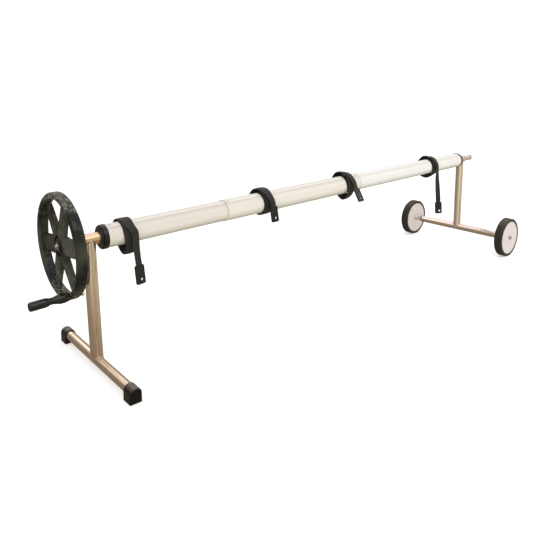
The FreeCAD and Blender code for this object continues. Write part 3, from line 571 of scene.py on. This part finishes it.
def strap_tail(name):
    """Tail from the band's front into its clip, twisting on the way to lie flat in it."""
    tail = "tail_" + name
    pivot = Vector(JOINTS["strap_swing_" + name]["pos_m"])
    eye = Vector(MOUNTS["clip_eye_" + name]["pos_m"])
    facing = Vector(MOUNTS["clip_eye_" + name]["axis"]).normalized()
    to_eye = eye - pivot
    aside = to_eye.cross(facing).normalized()
    if aside.dot(ALONG) < 0:
        aside = -aside
    # the eye lies off the clip's middle line, so the tail runs slightly beside the line to the eye
    off = CLIP_EYE_SIDE / to_eye.length
    along = math.sqrt(1 - off * off)
    down = to_eye.normalized() * along - aside * off
    clip_wide = aside * along + to_eye.normalized() * off
    reach = to_eye.length * along + CLIP_EYE_EDGE
    mouth = reach - CLIP_LENGTH
    stations = []
    for i in range(TAIL_STATIONS + 1):
        s = -TAIL_LAP + (mouth + CLIP_SOCKET + TAIL_LAP) * i / TAIL_STATIONS
        onward = (-UP).lerp(down, ease((s + TAIL_LAP) / (2 * TAIL_LAP))).normalized()
        point = pivot - UP * s if s < 0 else pivot + down * s
        sway = max(0.0, mouth * TAIL_SWAY * math.sin(math.pi * max(0.0, min(1.0, s / mouth))))
        wide = ALONG.lerp(clip_wide, ease(s / (mouth * TAIL_TWIST))).normalized()
        wide = (wide - onward * wide.dot(onward)).normalized()
        normal = wide.cross(onward)
        width, thick = TAIL_WIDTH - 2 * TAIL_GAP, BAND_THICK - TAIL_GAP
        stations.append((point + normal * sway, wide, normal, width, thick, 0.0))
    made = tape("webbing_tail_" + name, stations)
    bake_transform(made)
    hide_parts("strap_tail_" + name)
    clip_mouldings(name, tail, eye, down, clip_wide)


def dash(centre, onward, normal, points, faces):
    """One stitch: a short spindle standing slightly out of the webbing, added to points and faces."""
    side = onward.cross(normal)
    start = len(points)
    rings = []
    for share, swell in STITCH_PROFILE:
        ring = []
        for k in range(STITCH_SIDES):
            t = 2 * math.pi * k / STITCH_SIDES
            around = side * math.cos(t) + normal * math.sin(t)
            ring.append(centre + onward * (share * STITCH_LENGTH) + around * (STITCH_R * swell))
        rings.append(ring)
    new_points, new_faces = skin(rings, False)
    points += new_points
    faces += [tuple(start + k for k in face) for face in new_faces]


def stitches(name, body, at):
    """Rectangle of stitches with a cross in it, where the strap laps over its own inner turns."""
    low, high = STITCHED
    corners = ((low, -STITCHED_HALF), (low, STITCHED_HALF), (high, STITCHED_HALF), (high, -STITCHED_HALF))
    legs = [(corners[k], corners[(k + 1) % 4]) for k in range(4)]
    legs += [(corners[0], corners[2]), (corners[1], corners[3])]

    def on_face(t, u):
        point, wide, normal = strap_station(at, t)[:3]
        return point + wide * u + normal * (BAND_THICK * STITCH_LIFT), normal

    points, faces = [], []
    for (ta, ua), (tb, ub) in legs:
        def on_leg(f):
            return on_face(ta + (tb - ta) * f, ua + (ub - ua) * f)
        count = max(2, round((on_leg(0.0)[0] - on_leg(1.0)[0]).length / STITCH_PITCH))
        for k in range(count):
            f = (k + 0.5) / count
            centre, normal = on_leg(f)
            ahead = on_leg(f + 0.1)[0]
            dash(centre, (ahead - centre).normalized(), normal, points, faces)
    piece("stitching_" + name, points, faces, "thread", body)


def rounded_outline(half_wide, half_tall, corner, steps=5):
    """Points of a rectangle with rounded corners, each corner in so many steps."""
    path = []
    for sx, sy, start in ((1, 1, 0), (-1, 1, 90), (-1, -1, 180), (1, -1, 270)):
        for k in range(steps + 1):
            t = math.radians(start + 90 * k / steps)
            path.append((sx * (half_wide - corner) + corner * math.cos(t),
                         sy * (half_tall - corner) + corner * math.sin(t)))
    return path


def clip_mouldings(name, tail, eye, down, wide):
    """Raised border, cross ribs and a ring round the eye, on both faces of the clip."""
    normal = wide.cross(down)
    centre = eye - wide * CLIP_EYE_SIDE + down * (CLIP_EYE_EDGE - CLIP_LENGTH / 2)
    border = rounded_outline(CLIP_WIDTH / 2 - BORDER_INSET, CLIP_LENGTH / 2 - BORDER_INSET, BORDER_CORNER)
    turns = [2 * math.pi * k / EYE_RING_STATIONS for k in range(EYE_RING_STATIONS)]
    circle = [(EYE_RING_R * math.cos(t), EYE_RING_R * math.sin(t)) for t in turns]
    rib = rounded_outline(*RIB_HALF, RIB_CORNER, 2)

    def moulding(label, middle, outline, radius, sides=8):
        path = [middle + wide * u + down * v for u, v in outline]
        bead(label, path, radius, "black_plastic", tail, sides=sides)

    for label, side in (("a", 1), ("b", -1)):
        lift = normal * (side * (CLIP_THICK / 2 - MOULDING_SINK))
        moulding(f"clip_border_{name}{label}", centre + lift, border, BORDER_R)
        moulding(f"clip_eye_{name}{label}", eye + lift, circle, EYE_RING_BEAD)
        for k in range(RIBS):
            rib_centre = centre - down * (CLIP_LENGTH / 2 - RIB_FIRST - RIB_PITCH * k) + lift
            moulding(f"clip_rib_{name}{label}{k}", rib_centre, rib, RIB_BEAD, sides=6)


STRAP_BODIES = {"1": "reel_near", "2": "reel_middle", "3": "reel_middle", "4": "reel_far"}
for strap, strap_body in STRAP_BODIES.items():
    strap_band(strap, strap_body)
    strap_tail(strap)

# ---- welds of the two stands ----
POST_R = 20 * MM
SLEEVE_R = 19 * MM
FOOT_TUBE_R = 16 * MM
AXLE_TUBE_R = 19 * MM
WELD_R = 1.6 * MM
WELD_RIPPLE = 0.12         # how much the bead swells and thins, as a share of its radius
WELD_STATIONS = 72


def weld_beads(name, body, ground_tube, ground_r, sleeve):
    """Beads where the post meets the ground tube and the sleeve, each following both tubes' surfaces."""
    low_centre = box_centre(ground_tube)
    low_centre.y = 0.0
    high_centre = box_centre(sleeve)
    high_centre.y = 0.0
    low_path, high_path = [], []
    for k in range(WELD_STATIONS):
        t = 2 * math.pi * k / WELD_STATIONS
        x, y = POST_R * math.cos(t), POST_R * math.sin(t)
        rise = math.sqrt(max(0.0, ground_r ** 2 - x * x))
        drop = math.sqrt(max(0.0, SLEEVE_R ** 2 - y * y))
        low_path.append(low_centre + ALONG * x + ACROSS * y + UP * rise)
        high_path.append(high_centre + ALONG * x + ACROSS * y - UP * drop)
    bead(name + "_low", low_path, WELD_R, "weld", body, WELD_RIPPLE)
    bead(name + "_high", high_path, WELD_R, "weld", body, WELD_RIPPLE)


weld_beads("weld_foot", "foot_stand", "foot_tube", FOOT_TUBE_R, "foot_head_sleeve")
weld_beads("weld_wheel", "wheel_stand", "axle_tube", AXLE_TUBE_R, "wheel_head_sleeve")


# ---- camera ----
def make_camera():
    """Camera from its place, its yaw, pitch and roll, and its lens."""
    data = bpy.data.cameras.new("camera")
    camera = bpy.data.objects.new("camera", data)
    bpy.context.scene.collection.objects.link(camera)
    yaw, pitch, roll = (math.radians(a) for a in (CAMERA_YAW, CAMERA_PITCH, CAMERA_ROLL))
    forward = Vector((math.sin(yaw) * math.cos(pitch), math.cos(yaw) * math.cos(pitch), -math.sin(pitch)))
    level_right = Vector((math.cos(yaw), -math.sin(yaw), 0.0))
    level_down = forward.cross(level_right)
    right = level_right * math.cos(roll) + level_down * math.sin(roll)
    down = level_down * math.cos(roll) - level_right * math.sin(roll)
    turn = Matrix((right, -down, -forward)).transposed()
    camera.matrix_world = Matrix.Translation(CAMERA_PLACE) @ turn.to_4x4()
    data.lens = CAMERA_LENS
    data.sensor_width = CAMERA_SENSOR
    data.shift_x, data.shift_y = CAMERA_SHIFT
    data.clip_start, data.clip_end = 0.02, 60.0
    bpy.context.scene.camera = camera


make_camera()


# ---- stage and light ----
FLOOR_HALF = 30.0
FLOOR_LEVEL = -0.5 * MM    # just below the feet
SOFT_LIGHT = 0.92          # strength of the light from all round
SOFT_COLOUR = (1.0, 0.992, 0.982, 1.0)
FLOOR_GLOW = 0.42          # strength of the floor's own light
# small bright openings that only shiny surfaces see: direction, half width in degrees, colour
WINDOWS = (
    ((-0.20, 0.93, 0.31), 6.0, (1.55, 1.50, 1.50, 1.0)),
    ((0.05, 0.80, 0.60), 8.0, (3.2, 2.8, 2.7, 1.0)),
    ((-0.68, 0.60, 0.42), 8.0, (3.8, 3.3, 3.2, 1.0)),
    ((-0.42, 0.66, 0.64), 9.0, (4.5, 4.2, 3.6, 1.0)),
)
# colour of the room's walls by bearing: 0 is -X, 0.25 is -Y, 0.5 is +X, 0.75 is +Y
WALL_STOPS = (
    (0.00, (0.50, 0.45, 0.34, 1.0)),
    (0.07, (0.72, 0.65, 0.51, 1.0)),
    (0.19, (1.10, 0.99, 0.79, 1.0)),
    (0.28, (0.62, 0.54, 0.40, 1.0)),
    (0.35, (0.72, 0.66, 0.53, 1.0)),
    (0.49, (0.74, 0.71, 0.62, 1.0)),
    (0.63, (0.50, 0.45, 0.38, 1.0)),
    (0.80, (0.30, 0.25, 0.20, 1.0)),
    (0.93, (0.38, 0.35, 0.26, 1.0)),
    (1.00, (0.50, 0.45, 0.34, 1.0)),
)
# share of the walls' colour in the room, by height: 0 is straight down, 1 straight up
LEVEL_STOPS = ((0.0, grey(0)), (0.26, grey(0)), (0.36, grey(1)), (0.60, grey(1)), (0.72, grey(0)))
# colour of the room below and above the walls, by height
HEIGHT_STOPS = (
    (0.00, (0.50, 0.42, 0.33, 1.0)),
    (0.14, (0.26, 0.20, 0.15, 1.0)),
    (0.34, (0.42, 0.34, 0.27, 1.0)),
    (0.55, (0.60, 0.50, 0.39, 1.0)),
    (0.70, (0.66, 0.56, 0.48, 1.0)),
    (0.79, (1.25, 1.17, 1.24, 1.0)),
    (0.88, (1.50, 1.44, 1.56, 1.0)),
    (1.00, (1.00, 0.96, 1.02, 1.0)),
)
# soft lights: place, point aimed at, width, height, watts, colour
SOFT_BOXES = {
    "key_light": ((-1.2, -2.6, 3.6), (0.0, 0.0, 0.2), 3.0, 2.0, 42.0, (1.0, 0.97, 0.93)),
    "side_light": ((2.6, -1.8, 2.2), (0.4, 0.0, 0.3), 1.6, 1.6, 14.0, (1.0, 0.95, 0.90)),
}


def make_floor():
    """Pale floor, hidden from shiny surfaces, with a little glow so that only soft shadows show on it."""
    mesh = bpy.data.meshes.new("floor")
    signs = ((-1, -1), (1, -1), (1, 1), (-1, 1))
    corners = [(sx * FLOOR_HALF, sy * FLOOR_HALF, FLOOR_LEVEL) for sx, sy in signs]
    mesh.from_pydata(corners, [], [(0, 1, 2, 3)])
    made = bpy.data.objects.new("floor", mesh)
    bpy.context.scene.collection.objects.link(made)
    made.visible_glossy = False

    def pale(g, place):
        return {"Base Color": g.mix(g.noise(place, 1.5, 2.0), grey(0.80), grey(0.82)),
                "Roughness": 0.9, "Specular IOR Level": 0.0,
                "Emission Color": grey(1.0), "Emission Strength": FLOOR_GLOW}
    mesh.materials.append(material("floor", pale))


def make_world():
    """White for the eye and for soft light. Shiny surfaces see a warm room with a bright ceiling."""
    world = bpy.data.worlds.new("world")
    g = Graph(world)
    direction = g.add("ShaderNodeTexCoord").outputs["Generated"]
    parts = g.add("ShaderNodeSeparateXYZ", {"Vector": direction})
    height = g.math("MULTIPLY_ADD", parts.outputs["Z"], 0.5, 0.5)
    bearing = g.math("ARCTAN2", parts.outputs["Y"], parts.outputs["X"])
    bearing = g.math("MULTIPLY_ADD", bearing, 1 / (2 * math.pi), 0.5)
    walls = g.ramp(bearing, WALL_STOPS)
    by_height = g.ramp(height, HEIGHT_STOPS)
    level_share = g.ramp(height, LEVEL_STOPS)
    room = g.mix(level_share, by_height, walls)
    for place, spread, colour in WINDOWS:
        pair = {0: direction, 1: Vector(place).normalized()}
        near = g.add("ShaderNodeVectorMath", pair, operation="DOT_PRODUCT")
        edge = math.cos(math.radians(spread))
        span = {0: near.outputs["Value"], 1: edge, 2: (1 + edge) / 2, 3: 0.0, 4: 1.0}
        share = g.add("ShaderNodeMapRange", span).outputs[0]
        room = g.mix(share, room, colour)
    shiny = g.add("ShaderNodeBackground", {"Color": room, "Strength": 1.0}).outputs[0]
    soft = g.add("ShaderNodeBackground", {"Color": SOFT_COLOUR, "Strength": SOFT_LIGHT}).outputs[0]
    white = g.add("ShaderNodeBackground", {"Color": grey(1.0), "Strength": 1.0}).outputs[0]
    path = g.add("ShaderNodeLightPath")
    plain = g.add("ShaderNodeMixShader", {0: path.outputs["Is Glossy Ray"], 1: soft, 2: shiny}).outputs[0]
    mixed = g.add("ShaderNodeMixShader", {0: path.outputs["Is Camera Ray"], 1: plain, 2: white}).outputs[0]
    g.add("ShaderNodeOutputWorld", {"Surface": mixed})
    bpy.context.scene.world = world


def soft_box(name, place, aim, width, height, power, colour):
    """Rectangular area light at place, facing aim."""
    data = bpy.data.lights.new(name, "AREA")
    data.shape = "RECTANGLE"
    data.size, data.size_y = width, height
    data.energy = power
    data.color = colour
    made = bpy.data.objects.new(name, data)
    bpy.context.scene.collection.objects.link(made)
    turn = (Vector(aim) - Vector(place)).to_track_quat("-Z", "Y")
    made.matrix_world = Matrix.Translation(place) @ turn.to_matrix().to_4x4()


make_floor()
make_world()
for light, settings in SOFT_BOXES.items():
    soft_box(light, *settings)
bpy.context.scene.view_settings.view_transform = "Standard"
